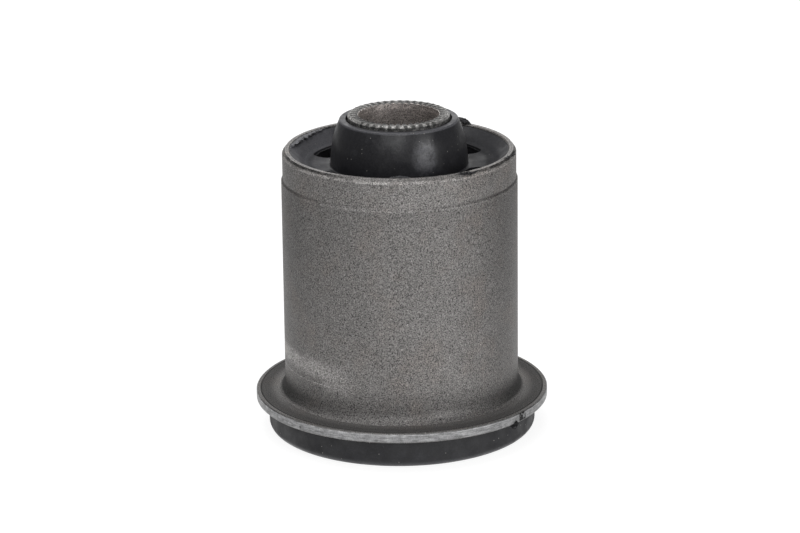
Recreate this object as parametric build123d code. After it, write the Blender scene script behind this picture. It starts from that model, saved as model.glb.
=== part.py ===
from build123d import *
import math
import os

# A bonded rubber bush for a vehicle's suspension arm: a flanged steel outer sleeve, a thick-walled
# steel inner sleeve with serrated ends, and one rubber moulding bonded between the two.
# The bush's axis is Z. Z = 0 is the face it stands on: the lower face of the rubber thrust ring
# and the tips of the inner sleeve's lower teeth. All sizes are in millimetres.

# ---- Inner sleeve ----
bore_radius = 10.25
inner_sleeve_wall = 2.75
inner_sleeve_length = 82.75
tooth_count = 40
tooth_depth = 0.6            # at the bore
tooth_rim_depth = 0.05      # at the outer diameter, where the teeth run out
tooth_tip_share = 0.14       # flat land left on a tooth's tip, as a share of the tooth pitch
bore_chamfer = 0.3
end_chamfer = 0.6            # round the outside of each serrated end

# ---- Outer sleeve ----
sleeve_radius = 30.0         # the press-fit diameter's radius
sleeve_wall = 2.3
sleeve_length = 65.9         # from the flange's underside to the rim
lead_in_length = 7.5         # reduced end that enters the arm's eye first
lead_in_step = 0.35          # how much smaller its radius is
lead_in_chamfer = 0.5        # length of the slope between the two diameters
rim_chamfer_width = 0.75
rim_chamfer_height = 1.0
rim_bore_chamfer = 0.3
flange_radius = 37.5
flange_thickness = 2.45
flange_edge_chamfer = 0.3
flange_fillet = 3.0          # inside corner between the tube and the flange
flange_face_cut = 0.35       # the seat is faced this far into the end of that fillet
seat_line_radius = 36.5      # fine tool line near the edge of the flange's seat
seat_line_width = 0.3
seat_line_depth = 0.12

# ---- Rubber moulding ----
thrust_ring_radius = 34.3
thrust_ring_thickness = 7.8
thrust_ring_rounding = 2.0
thrust_face_width = 5.2      # flat ring that meets the bracket
collar_setback = 1.3         # how far the inner sleeve stands proud of each collar
moat_width = 0.5             # gap between the inner sleeve and each collar's lip
moat_depth = 1.2
collar_land = 1.6            # flat top of the collar's lip
collar_lip_rounding = 0.35
collar_flare = 2.35          # how much wider the collar is at its foot than at its land
collar_foot_rounding = 0.3
upper_recess_depth = 4.2     # from the rim down to the floor at the collar's foot
lower_recess_depth = 8.0     # from the standing face up to the floor at the lower collar's foot
floor_width = 6.5            # from the collar's foot to where the recess wall starts
floor_rise = 0.75            # how much shallower each floor is at its outer edge
floor_edge_rounding = 1.2    # where the floor turns up into the wall
lining_drop = 0.5            # the rubber lining ends this far below the rim
lining_edge = 0.3            # its thickness there
slot_collar_gap = 0.9        # floor left between the collar's foot and a slot
slot_width = 4.8
slot_span = 144.0            # degrees of arc from end to end
slot_corner_rounding = 2.0
slot_count = 2
first_slot_direction = 93.0  # degrees from +X to the middle of the first slot

# ---- Sizes that follow from the ones above ----
inner_sleeve_radius = bore_radius + inner_sleeve_wall
sleeve_bore_radius = sleeve_radius - sleeve_wall
flange_underside = thrust_ring_thickness
flange_top = flange_underside + flange_thickness
rim_height = flange_underside + sleeve_length
lead_in_radius = sleeve_radius - lead_in_step
lead_in_start = rim_height - lead_in_length
# On its bore side the tube bends outwards round the fillet's corner, one flange thickness out.
bend_radius = flange_fillet + flange_thickness
bend_end_radius = sleeve_bore_radius + bend_radius
bend_start = flange_underside + bend_radius
collar_lip_bore = inner_sleeve_radius + moat_width
collar_top_radius = collar_lip_bore + collar_land
collar_foot_radius = collar_top_radius + collar_flare
floor_edge_radius = collar_foot_radius + floor_width
slot_inner_radius = collar_foot_radius + slot_collar_gap
slot_outer_radius = slot_inner_radius + slot_width


def round_corner(start, centre, end):
    """Arc from start to end about centre, drawn the short way round."""
    start, centre, end = Vector(start), Vector(centre), Vector(end)
    towards_middle = ((start - centre) + (end - centre)).normalized()
    middle = centre + towards_middle * (start - centre).length
    return ThreePointArc(start, middle, end)


def revolved(lines_and_arcs):
    """Solid of revolution about Z of a closed outline drawn in the XZ plane as (radius, height)."""
    outline = Plane.XZ * (Curve() + lines_and_arcs)
    return revolve(make_face(outline.edges()), Axis.Z)


# ---- Outer sleeve: a drawn tube whose lower end is turned out into a flange ----

def bore_side_bend():
    """Arc from the tube's bore down to the flange's underside, where the rubber meets the steel."""
    return round_corner(
        (sleeve_bore_radius, bend_start),
        (bend_end_radius, bend_start),
        (bend_end_radius, flange_underside),
    )


def outer_sleeve_section():
    # The faced seat cuts off the last of the fillet, so the two meet in a crisp line.
    fillet_height = flange_top - flange_face_cut + flange_fillet
    fillet_centre = (sleeve_radius + flange_fillet, fillet_height)
    fillet_reach = math.sqrt(flange_fillet**2 - (flange_fillet - flange_face_cut) ** 2)
    fillet_end = (fillet_centre[0] - fillet_reach, flange_top)
    fillet_start = (sleeve_radius, fillet_height)
    return [
        bore_side_bend(),
        Polyline(
            (bend_end_radius, flange_underside),
            (flange_radius - flange_edge_chamfer, flange_underside),
            (flange_radius, flange_underside + flange_edge_chamfer),
            (flange_radius, flange_top - flange_edge_chamfer),
            (flange_radius - flange_edge_chamfer, flange_top),
            (seat_line_radius, flange_top),
            (seat_line_radius - seat_line_width / 2, flange_top - seat_line_depth),
            (seat_line_radius - seat_line_width, flange_top),
            fillet_end,
        ),
        round_corner(fillet_end, fillet_centre, fillet_start),
        Polyline(
            fillet_start,
            (sleeve_radius, lead_in_start - lead_in_chamfer),
            (lead_in_radius, lead_in_start),
            (lead_in_radius, rim_height - rim_chamfer_height),
            (lead_in_radius - rim_chamfer_width, rim_height),
            (sleeve_bore_radius + rim_bore_chamfer, rim_height),
            (sleeve_bore_radius, rim_height - rim_bore_chamfer),
            (sleeve_bore_radius, bend_start),
        ),
    ]


def make_outer_sleeve():
    return revolved(outer_sleeve_section())


# ---- Inner sleeve: a thick tube with face teeth that bite into the bracket at both ends ----

def tooth_gap():
    """V groove between two teeth of the upper end: deepest at the bore and running out towards
    the outside, where it is widest."""
    overrun = inner_sleeve_wall / 2
    ends = []
    for radius in (bore_radius - overrun, inner_sleeve_radius + overrun):
        share = (radius - bore_radius) / inner_sleeve_wall
        depth = tooth_depth + share * (tooth_rim_depth - tooth_depth)
        half_width = radius * math.tan(math.pi / tooth_count) * (1 - tooth_tip_share)
        corners = [
            (radius, -half_width, inner_sleeve_length),
            (radius, half_width, inner_sleeve_length),
            (radius, 0, inner_sleeve_length - depth),
        ]
        ends.append(Wire.make_polygon(corners, close=True))
    return Solid.make_loft(ends, ruled=True)


def make_inner_sleeve():
    tube = revolved(
        [
            Polyline(
                (bore_radius, bore_chamfer),
                (bore_radius + bore_chamfer, 0),
                (inner_sleeve_radius - end_chamfer, 0),
                (inner_sleeve_radius, end_chamfer),
                (inner_sleeve_radius, inner_sleeve_length - end_chamfer),
                (inner_sleeve_radius - end_chamfer, inner_sleeve_length),
                (bore_radius + bore_chamfer, inner_sleeve_length),
                (bore_radius, inner_sleeve_length - bore_chamfer),
                close=True,
            )
        ]
    )
    # A tooth gap lines up with the middle of each slot.
    pitch = 360 / tooth_count
    turns = [first_slot_direction + index * pitch for index in range(tooth_count)]
    upper_gaps = [Rot(0, 0, turn) * tooth_gap() for turn in turns]
    middle = Plane.XY.offset(inner_sleeve_length / 2)
    lower_gaps = [gap.mirror(middle) for gap in upper_gaps]
    return tube - upper_gaps - lower_gaps


# ---- Rubber: collars, recess floors, lining and thrust ring in one moulding ----

def end_outline(end, outwards, recess_depth, wall_end):
    """Outline of the moulding's upper or lower end: the collar from the inner sleeve outwards, the
    recess floor and the recess wall up to wall_end. end is the height of the collar's land, and
    recess_depth is measured from wall_end's height. outwards is +1 for the upper end and -1 for
    the lower one."""
    moat_floor = end - outwards * moat_depth
    lip_start = (collar_top_radius - collar_lip_rounding, end)
    lip_end = (collar_top_radius, end - outwards * collar_lip_rounding)
    floor = wall_end[1] - outwards * recess_depth
    floor_edge = floor + outwards * floor_rise
    flank_foot = (collar_foot_radius, floor + outwards * 2 * collar_foot_rounding)
    return [
        Polyline(
            (inner_sleeve_radius, moat_floor),
            (collar_lip_bore, moat_floor),
            (collar_lip_bore, end),
            lip_start,
        ),
        round_corner(lip_start, (lip_start[0], lip_end[1]), lip_end),
        # The flank leaves the foot upright and leans in towards the lip.
        TangentArc(flank_foot, lip_end, tangent=(0, outwards)),
        FilletPolyline(
            flank_foot,
            (collar_foot_radius, floor),
            (floor_edge_radius, floor_edge),
            wall_end,
            radius=[collar_foot_rounding, floor_edge_rounding],
        ),
    ]


def rubber_section():
    upper_collar_end = inner_sleeve_length - collar_setback
    lower_collar_end = collar_setback
    lining_end = (sleeve_bore_radius - lining_edge, rim_height - lining_drop)
    face_outer = thrust_ring_radius - thrust_ring_rounding
    face_inner = face_outer - thrust_face_width
    ring_edge = (thrust_ring_radius, thrust_ring_rounding)
    return (
        end_outline(upper_collar_end, 1, upper_recess_depth - lining_drop, lining_end)
        + [
            Polyline(
                lining_end,
                (sleeve_bore_radius, lining_end[1]),
                (sleeve_bore_radius, bend_start),
            ),
            bore_side_bend(),
            Polyline(
                (bend_end_radius, flange_underside),
                (thrust_ring_radius, flange_underside),
                ring_edge,
            ),
            round_corner(ring_edge, (face_outer, thrust_ring_rounding), (face_outer, 0)),
            Line((face_outer, 0), (face_inner, 0)),
        ]
        + end_outline(lower_collar_end, -1, lower_recess_depth, (face_inner, 0))
        + [
            Line(
                (inner_sleeve_radius, lower_collar_end + moat_depth),
                (inner_sleeve_radius, upper_collar_end - moat_depth),
            )
        ]
    )


def kidney_slot(direction):
    """Through slot between two arcs about the axis, with radial ends and rounded corners."""
    start = direction - slot_span / 2
    inner = CenterArc((0, 0), slot_inner_radius, start, slot_span)
    outer = CenterArc((0, 0), slot_outer_radius, start, slot_span)
    outline = Curve() + [inner, outer, Line(inner @ 0, outer @ 0), Line(inner @ 1, outer @ 1)]
    sharp = make_face(outline.edges())
    return extrude(fillet(sharp.vertices(), slot_corner_rounding), inner_sleeve_length)


def make_rubber_body():
    moulding = revolved(rubber_section())
    spacing = 360 / slot_count
    slots = [kidney_slot(first_slot_direction + index * spacing) for index in range(slot_count)]
    return moulding - slots


nodes = {
    "outer_sleeve": make_outer_sleeve(),
    "inner_sleeve": make_inner_sleeve(),
    "rubber_body": make_rubber_body(),
}

os.makedirs("parts", exist_ok=True)
for name, shape in nodes.items():
    export_step(shape, f"parts/{name}.step")
    print(name, "volume", round(shape.volume, 1), "mm3")
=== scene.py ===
import bpy
import numpy as np
from mathutils import Matrix, Vector


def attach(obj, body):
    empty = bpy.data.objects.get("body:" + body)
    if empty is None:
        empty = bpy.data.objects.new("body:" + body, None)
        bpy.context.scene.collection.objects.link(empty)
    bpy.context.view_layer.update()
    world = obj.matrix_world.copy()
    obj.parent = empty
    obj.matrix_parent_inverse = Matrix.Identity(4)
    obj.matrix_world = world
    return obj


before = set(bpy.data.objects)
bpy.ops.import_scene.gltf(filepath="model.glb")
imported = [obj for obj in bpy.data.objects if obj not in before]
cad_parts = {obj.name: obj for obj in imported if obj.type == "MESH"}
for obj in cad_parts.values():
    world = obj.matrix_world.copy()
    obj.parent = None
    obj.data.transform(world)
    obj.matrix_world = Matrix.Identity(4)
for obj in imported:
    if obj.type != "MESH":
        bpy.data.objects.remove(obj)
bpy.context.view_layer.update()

print("frame loaded")

mm = 0.001
rimTop = 73.7           # heights in millimetres, as in the solids
toothTips = 82.75


# camera

cameraSetup = {
    "lens": 157.6,          # millimetres
    "sensor": 36,
    "distance": 0.8953,     # metres from the point looked at
    "elevation": 17.61,     # degrees above the horizon
    "roll": -0.67,
    "lookAt": (-0.000116, 0.0, 0.04209),
    "nearest": 0.01,
    "farthest": 20,
}


def addCamera(setup):
    rise = np.radians(setup["elevation"])
    roll = np.radians(setup["roll"])
    forward = Vector((0, np.cos(rise), -np.sin(rise)))
    level = Vector((1, 0, 0))
    upright = level.cross(forward)
    right = level * np.cos(roll) + upright * np.sin(roll)
    up = upright * np.cos(roll) - level * np.sin(roll)
    turn = Matrix((right, up, -forward)).transposed()
    camera = bpy.data.objects.new("camera", bpy.data.cameras.new("camera"))
    camera.data.lens = setup["lens"]
    camera.data.sensor_width = setup["sensor"]
    camera.data.clip_start = setup["nearest"]
    camera.data.clip_end = setup["farthest"]
    place = Vector(setup["lookAt"]) - forward * setup["distance"]
    camera.matrix_world = Matrix.Translation(place) @ turn.to_4x4()
    bpy.context.scene.collection.objects.link(camera)
    bpy.context.scene.camera = camera


addCamera(cameraSetup)
print("camera placed")


# node helpers

def newMaterial(name):
    # an empty material with its shader wired to the output
    material = bpy.data.materials.new(name)
    material.use_nodes = True
    tree = material.node_tree
    tree.nodes.clear()
    output = tree.nodes.new("ShaderNodeOutputMaterial")
    shader = tree.nodes.new("ShaderNodeBsdfPrincipled")
    tree.links.new(shader.outputs[0], output.inputs[0])
    return material, tree, shader


def newGroup(name, inputs, outputs):
    # inputs are (name, type, default), outputs are (name, type)
    group = bpy.data.node_groups.new(name, "ShaderNodeTree")
    for label, kind, default in inputs:
        socket = group.interface.new_socket(
            name=label, in_out="INPUT", socket_type="NodeSocket" + kind)
        if default is not None:
            socket.default_value = default
    for label, kind in outputs:
        group.interface.new_socket(name=label, in_out="OUTPUT", socket_type="NodeSocket" + kind)
    given = group.nodes.new("NodeGroupInput").outputs
    return group, given, group.nodes.new("NodeGroupOutput").inputs


def plug(tree, socket, value):
    # a link where value is a socket, otherwise a plain number or colour
    if isinstance(value, bpy.types.NodeSocket):
        tree.links.new(value, socket)
    elif value is not None:
        socket.default_value = value


def useGroup(tree, group, **values):
    node = tree.nodes.new("ShaderNodeGroup")
    node.node_tree = group
    for label, value in values.items():
        plug(tree, node.inputs[label], value)
    return node.outputs


def calc(tree, operation, *values):
    node = tree.nodes.new("ShaderNodeMath")
    node.operation = operation
    for socket, value in zip(node.inputs, values):
        plug(tree, socket, value)
    return node.outputs[0]


def product(tree, first, *others):
    for other in others:
        first = calc(tree, "MULTIPLY", first, other)
    return first


def noiseOf(tree, vector, scale, detail=3.0, roughness=0.6):
    node = tree.nodes.new("ShaderNodeTexNoise")
    plug(tree, node.inputs["Vector"], vector)
    plug(tree, node.inputs["Scale"], scale)
    plug(tree, node.inputs["Detail"], detail)
    plug(tree, node.inputs["Roughness"], roughness)
    return node.outputs[0]


def spread(tree, value, low, high, start, end):
    # a straight, clamped change from start at low to end at high
    node = tree.nodes.new("ShaderNodeMapRange")
    for socket, item in zip(node.inputs, (value, low, high, start, end)):
        plug(tree, socket, item)
    return node.outputs[0]


def ease(tree, value, low, high, start=0.0, end=1.0):
    # a smooth step from start at low to end at high
    result = spread(tree, value, low, high, start, end)
    result.node.interpolation_type = "SMOOTHSTEP"
    return result


def fade(tree, mask, amount):
    # 1 where mask is 0, and amount where it is 1
    return calc(tree, "MULTIPLY_ADD", mask, amount - 1.0, 1.0)


def between(tree, first, second, mask):
    # first where mask is 0 and second where it is 1; the number sockets are 2 and 3
    node = tree.nodes.new("ShaderNodeMix")
    node.data_type = "FLOAT"
    for index, value in ((0, mask), (2, first), (3, second)):
        plug(tree, node.inputs[index], value)
    return node.outputs[0]


def mixColour(tree, mask, first, second):
    # the same for colours, whose sockets are 6 and 7
    node = tree.nodes.new("ShaderNodeMix")
    node.data_type = "RGBA"
    for index, value in ((0, mask), (6, first), (7, second)):
        plug(tree, node.inputs[index], value)
    return node.outputs[2]


def shaded(tree, colour, shade):
    node = tree.nodes.new("ShaderNodeVectorMath")
    node.operation = "SCALE"
    plug(tree, node.inputs[0], colour)
    plug(tree, node.inputs["Scale"], shade)
    return node.outputs[0]


def stretch(tree, vector, scale):
    node = tree.nodes.new("ShaderNodeMapping")
    plug(tree, node.inputs["Vector"], vector)
    node.inputs["Scale"].default_value = scale
    return node.outputs[0]


def objectCoordinates(tree):
    return tree.nodes.new("ShaderNodeTexCoord").outputs["Object"]


def addBump(tree, height, strength, distance, under=None):
    node = tree.nodes.new("ShaderNodeBump")
    node.inputs["Strength"].default_value = strength
    node.inputs["Distance"].default_value = distance
    plug(tree, node.inputs["Height"], height)
    plug(tree, node.inputs["Normal"], under)
    return node.outputs[0]


# shared effects, each built once as a group; sizes in millimetres

cloudGrains = 20.0          # grains across one cloud of the blasted finish


def makePlaceGroup():
    # radius = root of x squared plus y squared, height = z, turn = degrees round the axis from +X
    group, given, result = newGroup(
        "placeOnBush", [("Vector", "Vector", None)],
        [("Radius", "Float"), ("Height", "Float"), ("Turn", "Float")])
    split = group.nodes.new("ShaderNodeSeparateXYZ")
    group.links.new(given["Vector"], split.inputs[0])
    x, y, z = split.outputs
    squares = calc(group, "ADD", calc(group, "MULTIPLY", x, x), calc(group, "MULTIPLY", y, y))
    radius = calc(group, "MULTIPLY", calc(group, "SQRT", squares), 1000.0)
    turn = calc(group, "DEGREES", calc(group, "ARCTAN2", y, x))
    group.links.new(radius, result["Radius"])
    group.links.new(calc(group, "MULTIPLY", z, 1000.0), result["Height"])
    group.links.new(turn, result["Turn"])
    return group


def makeBandGroup():
    # 1 between low and high, falling to 0 over soft on either side
    group, given, result = newGroup(
        "softBand",
        [("Value", "Float", 0.0), ("Low", "Float", 0.0), ("High", "Float", 1.0),
         ("Soft", "Float", 0.1)],
        [("Mask", "Float")])
    lowest = calc(group, "SUBTRACT", given["Low"], given["Soft"])
    highest = calc(group, "ADD", given["High"], given["Soft"])
    rising = ease(group, given["Value"], lowest, given["Low"])
    falling = ease(group, given["Value"], given["High"], highest, 1.0, 0.0)
    group.links.new(product(group, rising, falling), result["Mask"])
    return group


def makeArcGroup():
    # 1 within half degrees of the centre direction, falling to 0 over soft more degrees
    group, given, result = newGroup(
        "softArc",
        [("Turn", "Float", 0.0), ("Centre", "Float", 0.0), ("Half", "Float", 10.0),
         ("Soft", "Float", 5.0)],
        [("Mask", "Float")])
    away = calc(group, "SUBTRACT", given["Turn"], given["Centre"])
    away = calc(group, "ABSOLUTE", calc(group, "WRAP", away, 180.0, -180.0))
    edge = calc(group, "ADD", given["Half"], given["Soft"])
    group.links.new(ease(group, away, given["Half"], edge, 1.0, 0.0), result["Mask"])
    return group


def makeGrainGroup():
    # grain = noise of the given size, cloud = the same kind of noise many grains across
    group, given, result = newGroup(
        "blastedGrain", [("Vector", "Vector", None), ("Size", "Float", 0.35)],
        [("Grain", "Float"), ("Cloud", "Float")])
    scale = calc(group, "DIVIDE", 1000.0, given["Size"])
    cloudScale = calc(group, "MULTIPLY", scale, 1 / cloudGrains)
    grain = noiseOf(group, given["Vector"], scale, 2.5, 0.75)
    cloud = noiseOf(group, given["Vector"], cloudScale, 4.0, 0.6)
    group.links.new(grain, result["Grain"])
    group.links.new(cloud, result["Cloud"])
    return group


def makeSpeckGroup():
    # scattered dots: the middles of random cells, of which only a share is kept
    group, given, result = newGroup(
        "scatteredSpecks",
        [("Vector", "Vector", None), ("Spacing", "Float", 1.0), ("Share", "Float", 0.2),
         ("Size", "Float", 0.2)],
        [("Mask", "Float")])
    cells = group.nodes.new("ShaderNodeTexVoronoi")
    plug(group, cells.inputs["Vector"], given["Vector"])
    plug(group, cells.inputs["Scale"], calc(group, "DIVIDE", 1000.0, given["Spacing"]))
    reach = calc(group, "DIVIDE", given["Size"], given["Spacing"])
    solid = calc(group, "MULTIPLY", reach, 0.4)
    near = ease(group, cells.outputs["Distance"], solid, reach, 1.0, 0.0)
    split = group.nodes.new("ShaderNodeSeparateColor")
    plug(group, split.inputs[0], cells.outputs["Color"])
    kept = calc(group, "LESS_THAN", split.outputs[0], given["Share"])
    group.links.new(product(group, near, kept), result["Mask"])
    return group


def makeBrokenGroup():
    # patches where slow noise passes a level, to break up a line or a stain
    group, given, result = newGroup(
        "brokenUp",
        [("Vector", "Vector", None), ("Size", "Float", 2.0), ("Level", "Float", 0.5),
         ("Soft", "Float", 0.08)],
        [("Mask", "Float")])
    scale = calc(group, "DIVIDE", 1000.0, given["Size"])
    noise = noiseOf(group, given["Vector"], scale, 4.0, 0.65)
    low = calc(group, "SUBTRACT", given["Level"], given["Soft"])
    high = calc(group, "ADD", given["Level"], given["Soft"])
    group.links.new(ease(group, noise, low, high), result["Mask"])
    return group


placeOnBush = makePlaceGroup()
softBand = makeBandGroup()
softArc = makeArcGroup()
blastedGrain = makeGrainGroup()
scatteredSpecks = makeSpeckGroup()
brokenUp = makeBrokenGroup()
print("shared effects ready")


def whereOnBush(tree):
    coords = objectCoordinates(tree)
    place = useGroup(tree, placeOnBush, Vector=coords)
    return {"coords": coords, "radius": place["Radius"], "height": place["Height"],
            "turn": place["Turn"]}


def band(tree, value, low, high, soft):
    return useGroup(tree, softBand, Value=value, Low=low, High=high, Soft=soft)["Mask"]


def arc(tree, turn, centre, half, soft):
    return useGroup(tree, softArc, Turn=turn, Centre=centre, Half=half, Soft=soft)["Mask"]


def broken(tree, vector, size, level, soft):
    return useGroup(tree, brokenUp, Vector=vector, Size=size, Level=level, Soft=soft)["Mask"]


def specks(tree, vector, spacing, share, size):
    values = {"Vector": vector, "Spacing": spacing, "Share": share, "Size": size}
    return useGroup(tree, scatteredSpecks, **values)["Mask"]


# light, floor and background

studio = {
    "backdrop": 1.0,            # what metal and rubber see behind the part
    "backdropFrom": (0.7, 0.97),    # how squarely behind it fades in
    "room": 0.12,               # and to its sides and front
    "overhead": 0.5,            # share of either left straight up
    "overheadFrom": (0.3, 0.9),
    "ambient": 0.33,            # plain light on matt surfaces from all round
    "sheetHalfWidth": 0.08,     # metres of pale floor seen in reflections, to either side
    "sheetFade": 2.4,           # times that width, where it has run out
    "sheetWhite": 0.85,
    "floorSize": 6.0,
    "floorGap": 0.00004,        # the sheet lies this far under the part
    "floorColour": 0.9,
    "floorRoughness": 0.9,
    "floorWhite": 0.86,         # plain white of the floor that is looked at
    "floorShadow": 0.3,         # share of its lit colour kept there, for the shadow
    "lampsAimAt": (0, 0, 0.04),
    "lamps": {
        "keyLamp": {"place": (1.0, -0.95, 0.34), "size": (0.6, 0.5), "power": 5.5},
        "frontLamp": {"place": (-0.2, -1.2, 0.85), "size": (1.0, 0.5), "power": 5.7},
        "topLamp": {"place": (-0.2, 0.25, 1.5), "size": (1.4, 1.4), "power": 13.0},
    },
}


def addSoftLamp(name, setup, target):
    lamp = bpy.data.lights.new(name, "AREA")
    lamp.shape = "RECTANGLE"
    lamp.size, lamp.size_y = setup["size"]
    lamp.energy = setup["power"]
    holder = bpy.data.objects.new(name, lamp)
    holder.location = setup["place"]
    aim = Vector(setup["place"]) - Vector(target)
    holder.rotation_euler = aim.to_track_quat("Z", "Y").to_euler()
    bpy.context.scene.collection.objects.link(holder)


def buildWorld(setup):
    # white where it is looked at, and for reflections white behind the part and dim elsewhere
    world = bpy.data.worlds.new("studio")
    bpy.context.scene.world = world
    world.use_nodes = True
    tree = world.node_tree
    tree.nodes.clear()
    output = tree.nodes.new("ShaderNodeOutputWorld")
    ambient = tree.nodes.new("ShaderNodeBackground")
    seen = tree.nodes.new("ShaderNodeBackground")
    mixer = tree.nodes.new("ShaderNodeMixShader")
    rays = tree.nodes.new("ShaderNodeLightPath").outputs
    split = tree.nodes.new("ShaderNodeSeparateXYZ")
    tree.links.new(tree.nodes.new("ShaderNodeTexCoord").outputs["Generated"], split.inputs[0])
    behind = ease(tree, split.outputs[1], *setup["backdropFrom"], setup["room"], setup["backdrop"])
    overhead = ease(tree, split.outputs[2], *setup["overheadFrom"], 1.0, setup["overhead"])
    level = product(tree, behind, overhead)
    ambient.inputs["Strength"].default_value = setup["ambient"]
    tree.links.new(between(tree, 1.0, level, rays["Is Glossy Ray"]), seen.inputs["Strength"])
    looked = calc(tree, "MAXIMUM", rays["Is Camera Ray"], rays["Is Transmission Ray"])
    tree.links.new(calc(tree, "MAXIMUM", looked, rays["Is Glossy Ray"]), mixer.inputs[0])
    for background in (ambient, seen):
        background.inputs["Color"].default_value = (1, 1, 1, 1)
    tree.links.new(ambient.outputs[0], mixer.inputs[1])
    tree.links.new(seen.outputs[0], mixer.inputs[2])
    tree.links.new(mixer.outputs[0], output.inputs[0])


def buildFloor(setup):
    # a matt sheet that is white where it is looked at, less the shadow that the part lays on it
    half = setup["floorSize"] / 2
    low = -setup["floorGap"]
    corners = [(-half, -half, low), (half, -half, low), (half, half, low), (-half, half, low)]
    mesh = bpy.data.meshes.new("floor")
    mesh.from_pydata(corners, [], [(0, 1, 2, 3)])
    floor = bpy.data.objects.new("floor", mesh)
    bpy.context.scene.collection.objects.link(floor)
    material, tree, shader = newMaterial("paleFloor")
    rays = tree.nodes.new("ShaderNodeLightPath").outputs
    split = tree.nodes.new("ShaderNodeSeparateXYZ")
    tree.links.new(objectCoordinates(tree), split.inputs[0])
    side = calc(tree, "ABSOLUTE", split.outputs[0])
    near = setup["sheetHalfWidth"]
    sheet = ease(tree, side, near, near * setup["sheetFade"], setup["sheetWhite"], setup["room"])
    sheet = product(tree, sheet, rays["Is Glossy Ray"])
    looked = calc(tree, "MAXIMUM", rays["Is Camera Ray"], rays["Is Transmission Ray"])
    glow = calc(tree, "MULTIPLY_ADD", looked, setup["floorWhite"], sheet)
    looked = calc(tree, "MAXIMUM", looked, rays["Is Glossy Ray"])
    tone = product(tree, fade(tree, looked, setup["floorShadow"]), setup["floorColour"])
    plug(tree, shader.inputs["Base Color"], shaded(tree, (1, 1, 1), tone))
    shader.inputs["Roughness"].default_value = setup["floorRoughness"]
    shader.inputs["Specular IOR Level"].default_value = 0.0
    shader.inputs["Emission Color"].default_value = (1, 1, 1, 1)
    tree.links.new(glow, shader.inputs["Emission Strength"])
    mesh.materials.append(material)


bpy.context.scene.view_settings.view_transform = "Standard"
buildWorld(studio)
buildFloor(studio)
for lampName, lampSetup in studio["lamps"].items():
    addSoftLamp(lampName, lampSetup, studio["lampsAimAt"])
print("studio lit")


# marks on the finishes. A mark is the product of the masks it names, in millimetres and degrees:
# above, below, outside and inside are (nothing yet, fully there), heights and radii are bands
# (low, high, soft), turns is an arc (centre, half, soft), patches is (size, level, soft), and
# perTooth, byFront and byLeft follow a value of the finish; byFront and byLeft weight painted
# light and shade by the side it falls on. shade is what a mark leaves of the colour, over 1
# where it is lighter, from wear or from painted light

markKinds = (
    ("above", ease, "height"), ("below", ease, "height"), ("heights", band, "height"),
    ("radii", band, "radius"), ("outside", ease, "radius"), ("inside", ease, "radius"),
    ("turns", arc, "turn"), ("byFront", spread, "front"), ("byLeft", spread, "left"),
    ("perTooth", ease, "tooth"), ("patches", broken, "coords"),
)

# noise is read as nothing at the first number and as full at the second
narrow = (0.35, 0.65)
medium = (0.34, 0.66)
wide = (0.3, 0.7)


def markMask(tree, where, mark):
    masks = [make(tree, where[place], *mark[key])
             for key, make, place in markKinds if key in mark]
    if "eitherTurn" in mark:
        first, second = (arc(tree, where["turn"], *turns) for turns in mark["eitherTurn"])
        masks.append(calc(tree, "MAXIMUM", first, second))
    if "awayFrom" in mark:
        near = markMask(tree, where, mark["awayFrom"])
        masks.append(ease(tree, near, 0.0, 1.0, 1.0, 0.0))
    if "worn" in mark:
        worn = mark["worn"]
        rub = broken(tree, stretch(tree, where["coords"], worn["stretch"]), *worn["patches"])
        masks.append(fade(tree, rub, worn["shade"]))
    return product(tree, *masks)


def addMarks(tree, shade, where, marks):
    # shade times what each mark leaves of it; the masks by name as well
    masks = {name: markMask(tree, where, mark) for name, mark in marks.items()}
    for name, mask in masks.items():
        shade = product(tree, shade, fade(tree, mask, marks[name]["shade"]))
    return shade, masks


def speckShade(tree, vector, setup):
    spacing, share, size, shade = setup
    return fade(tree, specks(tree, vector, spacing, share, size), shade)


# outer sleeve: blasted and phosphated steel, with its bare rim and flange edge

lineGaps = (3.0, 0.46, 0.1)         # patches that break up the lines round the sleeve
rimFaceAbove = (rimTop - 0.06, rimTop - 0.02)
flangeTop = (9.9, 10.4, 0.1)
edgeOutside = (37.28, 37.38)        # the flange's edge is at 37.5

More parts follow.
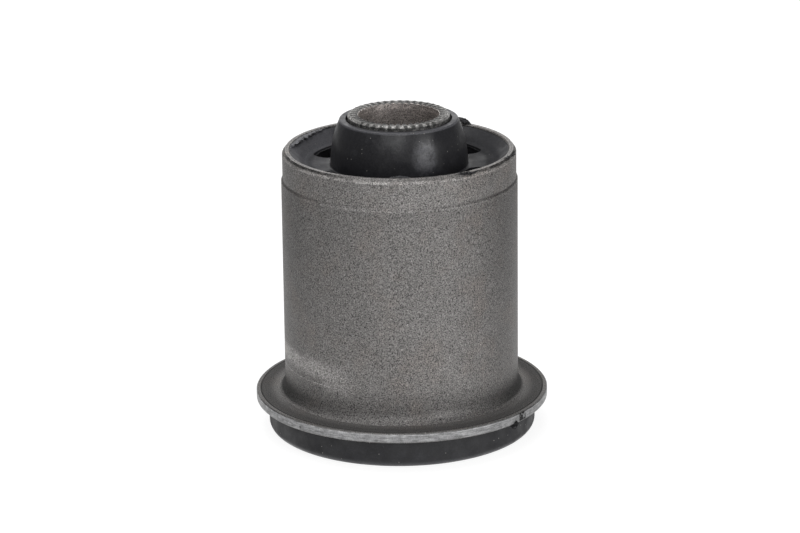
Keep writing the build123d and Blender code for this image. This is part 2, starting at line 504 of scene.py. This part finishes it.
blastedSteel = {
    "colour": (0.203, 0.196, 0.191, 1),
    "rustTint": (0.21, 0.17, 0.145, 1),
    "rustPatches": (9.0, 0.58, 0.12),
    "rustMost": 0.4,
    "bareColour": (0.196, 0.196, 0.198, 1),
    "grainSize": 0.31,              # millimetres
    "grainDepth": 0.00008,          # metres
    "grainBump": 0.6,
    "grainContrast": 0.86,
    "cloudContrast": 0.06,
    "metallic": 0.7,
    "mattMetallic": 0.25,           # where dirt lies
    "bareMetallic": 0.92,           # on the rim's face and the flange's edge
    "roughness": (0.47, 0.63),
    "mattRoughness": 0.72,
    "bareRoughness": 0.42,
    "bareRelief": 0.5,
    # specks are (millimetres apart, share of places filled, size, shade)
    "pits": (0.9, 0.28, 0.26, 0.86),
    "flecks": (1.4, 0.2, 0.26, 1.7),
    "fleckStretch": (1.0, 1.0, 1.1),
    "holes": (4.6, 0.14, 0.4, 0.25),
    # the front of the part as an arc of turns; the painted light and shade below are weighted by it
    "front": (268.0, 22.0, 50.0),
    "marks": {
        # painted shade: the two sides of the tube are a little darker than its front
        "sides": {"above": (10.6, 13.0), "below": (66.2, 65.2), "shade": 0.85,
                  "awayFrom": {"turns": (268.0, 36.0, 30.0), "heights": (19.0, 64.0, 3.0)}},
        # dirt and painted shade low down in the corner above the flange, heaviest at the two sides
        # and round the back
        "corner": {"below": (17.0, 11.6), "above": (10.3, 10.9),
                   "byFront": (0.0, 1.0, 1.0, 0.0), "shade": 0.2},
        # handling scuffs on the left of the tube and the fine tool line under them
        "scuff": {"heights": (21.6, 22.6, 2.6), "turns": (194.0, 12.0, 48.0), "shade": 2.5,
                  "worn": {"stretch": (0.4, 0.4, 1.8), "patches": (3.0, 0.46, 0.3),
                           "shade": 0.45}},
        "smudge": {"heights": (17.5, 20.0, 2.4), "turns": (237.0, 4.0, 9.0), "shade": 1.3},
        "toolLine": {"heights": (18.05, 18.2, 0.12), "turns": (206.0, 22.0, 16.0), "shade": 1.6},
        # the lead-in step: painted light in front, darker away from the front, a rubbed edge below
        "stepFront": {"heights": (65.5, 66.25, 0.15), "byFront": (0.2, 1.0, 0.0, 1.0),
                      "shade": 1.3},
        "stepDarker": {"heights": (66.05, 66.3, 0.3), "byFront": (0.0, 1.0, 1.0, 0.1),
                     "shade": 0.62},
        "stepEdge": {"heights": (65.35, 65.7, 0.25), "patches": lineGaps, "shade": 1.15},
        "leadIn": {"heights": (66.6, rimTop - 1.0, 0.3), "shade": 1.14},
        # the rim: bare face with a faint groove, a chamfer stained and darkened by painted shade at
        # both sides, a painted highlight line where it starts, and painted light on its front
        "rimFace": {"above": rimFaceAbove, "shade": 1.65},
        "rimGroove": {"above": rimFaceAbove, "radii": (28.3, 28.5, 0.15), "patches": lineGaps,
                      "shade": 0.6},
        "chamfer": {"heights": (rimTop - 0.5, rimTop - 0.08, 0.1), "outside": (28.5, 28.8),
                    "eitherTurn": ((214.0, 16.0, 12.0), (335.0, 12.0, 14.0)),
                    "patches": (2.2, 0.44, 0.08), "shade": 0.3},
        "rimLine": {"heights": (rimTop - 1.2, rimTop - 0.7, 0.16), "outside": (29.0, 29.3),
                    "patches": lineGaps, "shade": 1.7},
        "rimFront": {"heights": (rimTop - 1.0, rimTop, 0.1), "byFront": (0.0, 1.0, 0.0, 1.0),
                     "shade": 1.1},
        # the flange: a dark faced seat inside a fine line; the seat's darkness is partly its finish
        # and partly painted shade
        "seat": {"heights": flangeTop, "outside": (31.6, 34.6), "inside": (36.45, 36.2),
                 "shade": 0.38},
        "seatLine": {"heights": flangeTop, "radii": (36.15, 36.45, 0.12), "shade": 0.5},
    },
    # the flange's bare turned edge
    "edgeShine": 1.38,
    "edgeShadeKept": 0.25,          # how much of the blasted finish still shows there
    # painted light: the edge shines less at its back than at its front
    "edgeFront": (0.8, 1.03),       # shine at its back and at its front
    "edgeRings": {"stretch": (0.1, 0.1, 1.0), "scale": 3600.0, "shine": (0.7, 1.3)},
    "edgeSmears": {"scale": 700.0, "shine": (0.8, 1.25)},
    "edgeNicks": (2.6, 0.24, 0.5, 0.4),
    "edgeMarks": {
        # painted highlight along the flange's top edge, and painted shade along its low edge
        "topEdge": {"outside": edgeOutside, "heights": (9.85, 10.05, 0.12), "shade": 1.45},
        "lowEdge": {"outside": edgeOutside, "below": (8.3, 7.9), "shade": 0.7},
        "gouge": {"outside": edgeOutside, "turns": (324.2, 1.9, 0.5),
                  "patches": (1.5, 0.43, 0.03), "shade": 0.06},
    },
}


def edgeShine(tree, where, setup):
    # fine rings times smears and nicks, with painted light brighter at the front, times the
    # edge's marks
    coords, ringed, smeared = where["coords"], setup["edgeRings"], setup["edgeSmears"]
    rings = noiseOf(tree, stretch(tree, coords, ringed["stretch"]), ringed["scale"], 2.0, 0.6)
    smears = noiseOf(tree, coords, smeared["scale"], 3.0, 0.6)
    shine = product(tree, spread(tree, rings, *narrow, *ringed["shine"]),
                    spread(tree, smears, *narrow, *smeared["shine"]), setup["edgeShine"],
                    speckShade(tree, coords, setup["edgeNicks"]),
                    spread(tree, where["front"], 0.0, 1.0, *setup["edgeFront"]))
    return addMarks(tree, shine, where, setup["edgeMarks"])[0]


def makeBlastedSteel(setup):
    # shade = grain times cloud, pits, flecks, holes and marks, some of them painted light and
    # shade, and mostly its own shine on the edge
    material, tree, shader = newMaterial("blastedSteel")
    where = whereOnBush(tree)
    where["front"] = arc(tree, where["turn"], *setup["front"])
    coords = where["coords"]
    noise = useGroup(tree, blastedGrain, Vector=coords, Size=setup["grainSize"])
    rough, cloudy = setup["grainContrast"], setup["cloudContrast"]
    shade = product(tree, spread(tree, noise["Grain"], *medium, 1 - rough, 1 + rough),
                    spread(tree, noise["Cloud"], *wide, 1 - cloudy, 1 + cloudy),
                    speckShade(tree, coords, setup["pits"]),
                    speckShade(tree, stretch(tree, coords, setup["fleckStretch"]), setup["flecks"]),
                    speckShade(tree, coords, setup["holes"]))
    shade, masks = addMarks(tree, shade, where, setup["marks"])
    edge = ease(tree, where["radius"], *edgeOutside)
    kept = setup["edgeShadeKept"]
    shade = between(tree, shade, calc(tree, "MULTIPLY_ADD", shade, kept, 1 - kept), edge)
    shade = product(tree, shade, between(tree, 1.0, edgeShine(tree, where, setup), edge))

    rusty = product(tree, broken(tree, coords, *setup["rustPatches"]),
                    spread(tree, noise["Grain"], *narrow, 0.0, setup["rustMost"]))
    colour = mixColour(tree, rusty, setup["colour"], setup["rustTint"])
    colour = mixColour(tree, edge, colour, setup["bareColour"])
    plug(tree, shader.inputs["Base Color"], shaded(tree, colour, shade))

    matt = calc(tree, "MAXIMUM", masks["seat"], masks["corner"])
    bare = calc(tree, "MAXIMUM", edge, masks["rimFace"])
    metallic = between(tree, setup["metallic"], setup["mattMetallic"], matt)
    plug(tree, shader.inputs["Metallic"], between(tree, metallic, setup["bareMetallic"], bare))
    roughness = spread(tree, noise["Grain"], *wide, *setup["roughness"])
    roughness = between(tree, roughness, setup["mattRoughness"], matt)
    plug(tree, shader.inputs["Roughness"], between(tree, roughness, setup["bareRoughness"], bare))
    relief = product(tree, noise["Grain"], between(tree, 1.0, setup["bareRelief"], bare))
    normal = addBump(tree, relief, setup["grainBump"], setup["grainDepth"])
    plug(tree, shader.inputs["Normal"], normal)
    return material


# inner sleeve: turned steel with pressed teeth, a browned bore and a dark film below the teeth

boreInside = (10.42, 10.3)

turnedSteel = {
    "colour": (0.29, 0.285, 0.277, 1),
    "boreTint": (0.37, 0.336, 0.32, 1),
    "grainSize": 0.27,              # millimetres
    "grainDepth": 0.00006,          # metres
    "grainBump": 0.6,
    "grainShade": (0.3, 1.7),
    "boreRings": {"stretch": (0.15, 0.15, 1.0), "scale": 2600.0, "shade": (0.72, 1.2)},
    "boreBlotch": 1.25,
    "metallic": 0.75,
    "boreMetallic": 0.8,
    "filmMetallic": 0.1,
    "roughness": (0.38, 0.58),
    "filmRoughness": 0.62,
    "teeth": 40,
    # the first line of the painted shade meant for the tooth gaps
    "firstShadeLine": 97.5,             # degrees; on a tooth, half a pitch from the gap at 93
    # above and below count from the nearer end, and perTooth is a share of half a pitch
    "marks": {
        # painted shade meant for the tooth gaps, one narrow line per tooth, lying on the teeth half
        # a pitch off
        "toothShade": {"below": (1.0, 0.7), "outside": (10.35, 10.5), "inside": (12.5, 12.1),
                  "perTooth": (0.85, 0.2), "shade": 0.26},
        "film": {"outside": (12.8, 12.93), "above": (0.46, 0.6), "shade": 0.14,
                 "worn": {"stretch": (1.0, 1.0, 1.0), "patches": (1.1, 0.52, 0.05),
                          "shade": 0.55}},
        # painted light at each mouth of the bore, and painted shade deeper inside it
        "boreMouth": {"inside": boreInside, "below": (2.0, 1.5), "shade": 1.4},
        "deepBore": {"inside": boreInside, "above": (4.0, 9.0), "shade": 0.66},
        # painted highlight: the chamfer round the teeth a little lighter
        "chamfer": {"radii": (12.5, 12.9, 0.1), "below": (1.0, 0.7), "shade": 1.1},
        # painted shade in the tooth gaps at the front, in patches; and burrs the press left on the
        # teeth, lighter, with painted glints
        "frontGapShade": {"outside": (12.3, 12.5), "below": (1.2, 0.9), "turns": (268.0, 44.0, 16.0),
                      "perTooth": (0.8, 0.3), "patches": (0.9, 0.36, 0.06), "shade": 0.3},
        "burr": {"outside": (10.9, 12.0), "below": (1.2, 0.7), "patches": (0.7, 0.53, 0.04),
                 "shade": 1.9},
    },
}


def makeTurnedSteel(setup):
    # shade = grain times rings and blotches in the bore, times the marks; both ends are alike
    material, tree, shader = newMaterial("turnedSteel")
    where = whereOnBush(tree)
    coords = where["coords"]
    middle = toothTips / 2
    fromMiddle = calc(tree, "ABSOLUTE", calc(tree, "SUBTRACT", where["height"], middle))
    where["height"] = calc(tree, "SUBTRACT", middle, fromMiddle)
    halfPitch = 180.0 / setup["teeth"]
    away = calc(tree, "SUBTRACT", where["turn"], setup["firstShadeLine"])
    away = calc(tree, "ABSOLUTE", calc(tree, "WRAP", away, halfPitch, -halfPitch))
    where["tooth"] = calc(tree, "DIVIDE", away, halfPitch)

    noise = useGroup(tree, blastedGrain, Vector=coords, Size=setup["grainSize"])
    inBore = ease(tree, where["radius"], *boreInside)
    ringed = setup["boreRings"]
    rings = noiseOf(tree, stretch(tree, coords, ringed["stretch"]), ringed["scale"], 2.0, 0.6)
    rings = spread(tree, rings, *narrow, *ringed["shade"])
    blotch = product(tree, inBore, spread(tree, noise["Cloud"], *narrow, 0.0, 1.0))
    shade = product(tree, spread(tree, noise["Grain"], *medium, *setup["grainShade"]),
                    between(tree, 1.0, rings, inBore), fade(tree, blotch, setup["boreBlotch"]))
    shade, masks = addMarks(tree, shade, where, setup["marks"])
    colour = mixColour(tree, inBore, setup["colour"], setup["boreTint"])
    plug(tree, shader.inputs["Base Color"], shaded(tree, colour, shade))

    film = masks["film"]
    metallic = between(tree, setup["metallic"], setup["boreMetallic"], inBore)
    plug(tree, shader.inputs["Metallic"], between(tree, metallic, setup["filmMetallic"], film))
    roughness = spread(tree, noise["Grain"], *wide, *setup["roughness"])
    plug(tree, shader.inputs["Roughness"], between(tree, roughness, setup["filmRoughness"], film))
    normal = addBump(tree, noise["Grain"], setup["grainBump"], setup["grainDepth"])
    plug(tree, shader.inputs["Normal"], normal)
    return material


# rubber: moulded black, satin, with grey dust and bloom, and painted light

mouldedRubber = {
    "colour": (0.0085, 0.0085, 0.0105, 1),
    "bloomAndPaintedLight": (0.068, 0.068, 0.076, 1),
    "bloomPatches": (5.0, 0.6, 0.14),
    "patchBloom": 0.22,             # share of bloom in the patches
    "bloomShade": (0.7, 1.35),
    "dust": (0.30, 0.29, 0.27, 1),
    "dustSpecks": (1.2, 0.3, 0.17),
    "dustShare": 0.8,
    "gloss": 0.47,                  # specular level, 0.5 for plain plastic
    "roughness": (0.28, 0.46),
    "patchRoughness": 0.1,
    "skinScale": 260.0,             # slow waves of the moulded skin
    "skinBump": 0.2,
    "skinDepth": 0.0003,            # metres
    "collarSkin": 2.2,              # times as wavy on the collar
    "poreScale": 2600.0,
    "poreBump": 0.4,
    "poreDepth": 0.00004,
    # the left side, where the lining and the recess get painted light
    "left": (185.0, 40.0, 30.0),
    # painted highlight along the collar's lip edge, broken in patches
    "lip": {"radii": (15.05, 15.3, 0.2), "above": (80.9, 81.1)},
    "lipHighlight": 0.9,
    "lipBrokenShare": 0.6,                 # share of it left in the patches
    # the share of grey each mark shows is bloom on some marks and painted light on others;
    # roughness is added
    "marks": {
        "collar": {"inside": (18.2, 17.6), "bloomAndPaintedLight": 0.1},
        "land": {"radii": (13.55, 15.0, 0.1), "above": (80.7, 81.2), "bloomAndPaintedLight": 0.85},
        # painted highlight on the collar's front right, in patches
        "paintedCollarHighlight": {"inside": (18.2, 17.6), "heights": (74.5, 75.5, 5.0),
                   "turns": (292.5, 0.0, 15.0), "patches": (1.2, 0.44, 0.26), "bloomAndPaintedLight": 2.3},
        # painted light on the lining's top, on its left side
        "lining": {"radii": (26.7, 27.6, 0.4), "above": (71.4, 72.6),
                   "turns": (190.0, 22.0, 30.0), "bloomAndPaintedLight": 0.6},
        # painted light on the ring's lowest rounding, as if from the floor
        "foot": {"below": (1.9, 0.5), "bloomAndPaintedLight": 0.75},
        "ring": {"below": (7.9, 7.6), "patches": (2.4, 0.54, 0.08), "bloomAndPaintedLight": 0.08},
        # bloom over the recess, heavier on its outer wall, and painted light heavier on its left
        # side
        "floor": {"radii": (19.0, 27.2, 1.0), "above": (69.2, 69.6),
                  "outside": (22.5, 25.0, 0.35, 1.0), "byLeft": (0.0, 1.0, 0.2, 1.0),
                  "bloomAndPaintedLight": 1.25},
        "liningFoot": {"radii": (23.0, 24.6, 1.6), "heights": (68.0, 71.2, 1.0),
                       "roughness": 0.3},
        "recess": {"radii": (19.0, 27.2, 1.0), "above": (69.2, 69.6), "roughness": 0.12},
        "ringSide": {"above": (0.8, 2.0), "below": (7.9, 7.7), "roughness": 0.22},
    },
}


def makeMouldedRubber(setup, name):
    # black under the greatest of the marks' bloom and painted light, with scattered dust, on a
    # wavy and pored skin
    material, tree, shader = newMaterial(name)
    where = whereOnBush(tree)
    where["left"] = arc(tree, where["turn"], *setup["left"])
    coords = where["coords"]
    fine = noiseOf(tree, coords, setup["poreScale"], 3.0, 0.6)
    waves = noiseOf(tree, coords, setup["skinScale"], 3.0, 0.55)
    patches = broken(tree, coords, *setup["bloomPatches"])

    amount = product(tree, patches, setup["patchBloom"])
    roughness = spread(tree, waves, *narrow, *setup["roughness"])
    masks = {key: markMask(tree, where, mark) for key, mark in setup["marks"].items()}
    for key, mark in setup["marks"].items():
        if "bloomAndPaintedLight" in mark:
            amount = calc(tree, "MAXIMUM", amount, product(tree, masks[key], mark["bloomAndPaintedLight"]))
        if "roughness" in mark:
            roughness = calc(tree, "MULTIPLY_ADD", masks[key], mark["roughness"], roughness)
    lip = product(tree, markMask(tree, where, setup["lip"]), fade(tree, patches, setup["lipBrokenShare"]))
    amount = calc(tree, "ADD", amount, product(tree, lip, setup["lipHighlight"]))
    grey = mixColour(tree, amount, setup["colour"], setup["bloomAndPaintedLight"])
    grey = shaded(tree, grey, spread(tree, fine, *wide, *setup["bloomShade"]))
    dusty = product(tree, specks(tree, coords, *setup["dustSpecks"]), setup["dustShare"])
    plug(tree, shader.inputs["Base Color"], mixColour(tree, dusty, grey, setup["dust"]))

    shader.inputs["Specular IOR Level"].default_value = setup["gloss"]
    roughness = calc(tree, "MULTIPLY_ADD", patches, setup["patchRoughness"], roughness)
    plug(tree, shader.inputs["Roughness"], roughness)
    skin = product(tree, waves, fade(tree, masks["collar"], setup["collarSkin"]))
    normal = addBump(tree, skin, setup["skinBump"], setup["skinDepth"])
    normal = addBump(tree, fine, setup["poreBump"], setup["poreDepth"], normal)
    plug(tree, shader.inputs["Normal"], normal)
    return material


finishes = {
    "outer_sleeve": makeBlastedSteel(blastedSteel),
    "inner_sleeve": makeTurnedSteel(turnedSteel),
    "rubber_body": makeMouldedRubber(mouldedRubber, "mouldedRubber"),
}
for node, material in finishes.items():
    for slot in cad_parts[node].material_slots:
        slot.material = material
print("finishes applied")


# moulding flash: strands of torn rubber that lie on the rim, the slots, the seam and the flange

tornRubber = dict(
    mouldedRubber, colour=(0.005, 0.005, 0.006, 1), bloomAndPaintedLight=(0.17, 0.17, 0.18, 1),
    bloomPatches=(0.8, 0.6, 0.14), patchBloom=0.65, roughness=(0.7, 0.88))

rubberFlash = {
    "seed": 7,
    "stepsAlong": 160,
    "pointsAround": 12,
    "smoothSteps": 7,               # steps over which the random amounts are smoothed
    "wander": 1.6,
    "sway": 0.35,                   # millimetres sideways at full raggedness
    "lumpiness": 0.5,
    "widthLimits": (0.25, 2.0),     # times the half width and half thickness asked for
    "thicknessLimits": (0.3, 1.8),
    "runOutEnds": (0.004, 0.996),   # share of the length where the ends are cut
    "runOutPower": 0.35,
    # degrees and millimetres, each list spread along its strand
    "strands": {
        "rimFlashBack": {
            "turns": [184, 172, 161, 150, 139, 130],
            "radii": [27.7, 27.5, 27.3, 27.3, 27.5, 27.8],
            "heights": [73.4, 73.4, 73.3, 73.3, 73.4, 73.5],
            "halfWidths": [0.2, 0.55, 0.75, 0.7, 0.5, 0.2],
            "halfThicknesses": [0.12, 0.3, 0.4, 0.35, 0.25, 0.1],
            "raggedness": 0.55,
        },
        "backFlap": {
            "turns": [48.0, 50.3, 52.6, 54.9, 57.2, 59.5],
            "radii": [28.2, 28.3, 28.3, 28.3, 28.2, 28.1],
            "heights": [73.55, 73.85, 74.15, 74.45, 74.6, 74.6],
            "halfWidths": [0.3, 0.7, 0.9, 0.8, 0.6, 0.4],
            "halfThicknesses": [0.3, 0.5, 0.65, 0.6, 0.5, 0.35],
            "raggedness": 0.12,
        },
        "frontScrap": {
            "turns": [299, 302, 305, 308, 312],
            "radii": [28.5, 29.0, 29.2, 29.3, 29.1],
            "heights": [73.7, 73.7, 73.6, 73.5, 73.5],
            "halfWidths": [0.3, 0.7, 0.8, 0.6, 0.2],
            "halfThicknesses": [0.1, 0.25, 0.25, 0.2, 0.08],
            "raggedness": 0.4,
        },
        "rightFilm": {
            "turns": [334, 339, 344, 349, 354],
            "radii": [28.3, 28.9, 29.2, 29.3, 29.2],
            "heights": [73.7, 73.65, 73.5, 73.4, 73.4],
            "halfWidths": [0.3, 0.5, 0.55, 0.45, 0.2],
            "halfThicknesses": [0.08, 0.12, 0.14, 0.12, 0.06],
            "raggedness": 0.45,
        },
        "frontHump": {
            "turns": [262, 266, 270, 274, 278],
            "radii": [27.2, 26.9, 26.8, 26.9, 27.2],
            "heights": [73.1, 73.35, 73.4, 73.35, 73.1],
            "halfWidths": [0.4, 0.9, 1.0, 0.8, 0.4],
            "halfThicknesses": [0.2, 0.4, 0.45, 0.4, 0.2],
            "raggedness": 0.15,
        },
        "flangeFlash": {
            "turns": [317.8, 318.7, 319.6, 320.6, 321.6],
            "radii": [36.7, 37.1, 37.25, 37.15, 36.6],
            "heights": [7.6, 7.65, 7.7, 7.75, 7.8],
            "halfWidths": [0.4, 0.6, 0.6, 0.6, 0.4],
            "halfThicknesses": [0.5, 0.8, 0.9, 0.85, 0.6],
            "raggedness": 0.3,
        },
        "seamFlashFront": {
            "turns": [180, 240, 300, 360],
            "radii": [34.3] * 4,
            "heights": [7.65] * 4,
            "halfWidths": [0.28] * 4,
            "halfThicknesses": [0.16] * 4,
            "raggedness": 0.8,
        },
        "seamFlashBack": {
            "turns": [0, 60, 120, 180],
            "radii": [34.3] * 4,
            "heights": [7.65] * 4,
            "halfWidths": [0.28] * 4,
            "halfThicknesses": [0.16] * 4,
            "raggedness": 0.8,
        },
        "slotRidgeLeft": {
            "turns": [163, 152, 141, 120, 93, 60, 33, 22],
            "radii": [22.6, 23.0, 23.1, 23.1, 23.1, 23.1, 23.0, 22.6],
            "heights": [69.6] * 8,
            "halfWidths": [0.1] * 8,
            "halfThicknesses": [0.12] * 8,
            "raggedness": 0.1,
        },
        "slotRidgeRight": {
            "turns": [203, 214, 226, 248, 273, 300, 331, 343],
            "radii": [22.6, 23.0, 23.1, 23.1, 23.1, 23.1, 23.0, 22.6],
            "heights": [69.6] * 8,
            "halfWidths": [0.1] * 8,
            "halfThicknesses": [0.12] * 8,
            "raggedness": 0.1,
        },
    },
}


def surfaceMesh(name, grid):
    # rows of points along and columns round, closed round and gathered to a pole at each end
    rows, columns = grid.shape[:2]
    first, last = grid[0].mean(axis=0), grid[-1].mean(axis=0)
    points = np.concatenate((grid.reshape(-1, 3), first[None], last[None]))
    along, around = np.meshgrid(np.arange(rows - 1), np.arange(columns), indexing="ij")
    here, beside = along * columns + around, along * columns + (around + 1) % columns
    quads = np.stack((here, here + columns, beside + columns, beside), axis=-1).reshape(-1, 4)
    ring = np.arange(columns)
    nextRing = (ring + 1) % columns
    startPole, endPole = rows * columns, rows * columns + 1
    lastRow = (rows - 1) * columns
    startCap = np.stack((np.full(columns, startPole), ring, nextRing), axis=-1)
    endCap = np.stack((np.full(columns, endPole), lastRow + nextRing, lastRow + ring), axis=-1)
    mesh = bpy.data.meshes.new(name)
    mesh.from_pydata(points.tolist(), [], quads.tolist() + startCap.tolist() + endCap.tolist())
    mesh.polygons.foreach_set("use_smooth", np.ones(len(mesh.polygons), dtype=bool))
    mesh.update()
    piece = bpy.data.objects.new(name, mesh)
    bpy.context.scene.collection.objects.link(piece)
    return piece


def strand(name, shape, setup, seed):
    # an oval carried along a curve round the axis: centre + width * cos(a) * outward + thickness *
    # sin(a) * up, both half sizes swelling and shrinking by smoothed random amounts, and running
    # out at the two ends
    chance = np.random.default_rng(seed)
    steps, around, ragged = setup["stepsAlong"], setup["pointsAround"], shape["raggedness"]
    keys = np.linspace(0, 1, len(shape["turns"]))
    along = np.linspace(0, 1, steps)
    turn = np.radians(np.interp(along, keys, shape["turns"]))
    radius, height, width, thickness = (
        np.interp(along, keys, shape[key])
        for key in ("radii", "heights", "halfWidths", "halfThicknesses"))
    smooth = np.hanning(setup["smoothSteps"])
    smooth = smooth / smooth.sum()
    drawn = steps + len(smooth) - 1
    # four rows are drawn though three are used, which keeps the lumps below as they are
    wander = [np.convolve(chance.normal(size=drawn), smooth, "valid") for _ in range(4)]
    swell, thicken, sway = np.stack(wander[:3]) * setup["wander"]
    loose = chance.normal(size=(drawn, around))
    runOut = np.sin(np.pi * np.clip(along, *setup["runOutEnds"])) ** setup["runOutPower"]
    width = width * runOut * np.clip(1 + ragged * swell, *setup["widthLimits"])
    thickness = thickness * runOut * np.clip(1 + ragged * thicken, *setup["thicknessLimits"])
    radius = radius + ragged * setup["sway"] * sway * runOut
    smoothed = sum(share * loose[k:k + steps] for k, share in enumerate(smooth))
    lumps = 1 + ragged * setup["lumpiness"] * smoothed
    angle = np.linspace(0, 2 * np.pi, around, endpoint=False)
    outward = np.stack((np.cos(turn), np.sin(turn), np.zeros(steps)), axis=-1)
    upright = np.array([0.0, 0.0, 1.0])
    centre = outward * radius[:, None] + upright * height[:, None]
    across = (np.cos(angle) * lumps * width[:, None])[..., None] * outward[:, None, :]
    upward = (np.sin(angle) * lumps * thickness[:, None])[..., None] * upright
    grid = (centre[:, None, :] + across + upward) * mm
    # the rows run anticlockwise, so that the faces look outward
    if shape["turns"][0] > shape["turns"][-1]:
        grid = grid[::-1]
    return surfaceMesh(name, grid)


def addFlash(setup, material):
    for offset, (name, shape) in enumerate(setup["strands"].items()):
        piece = strand(name, shape, setup, setup["seed"] + offset)
        piece.data.materials.append(material)
        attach(piece, "root")


addFlash(rubberFlash, makeMouldedRubber(tornRubber, "tornRubber"))
print("flash added")
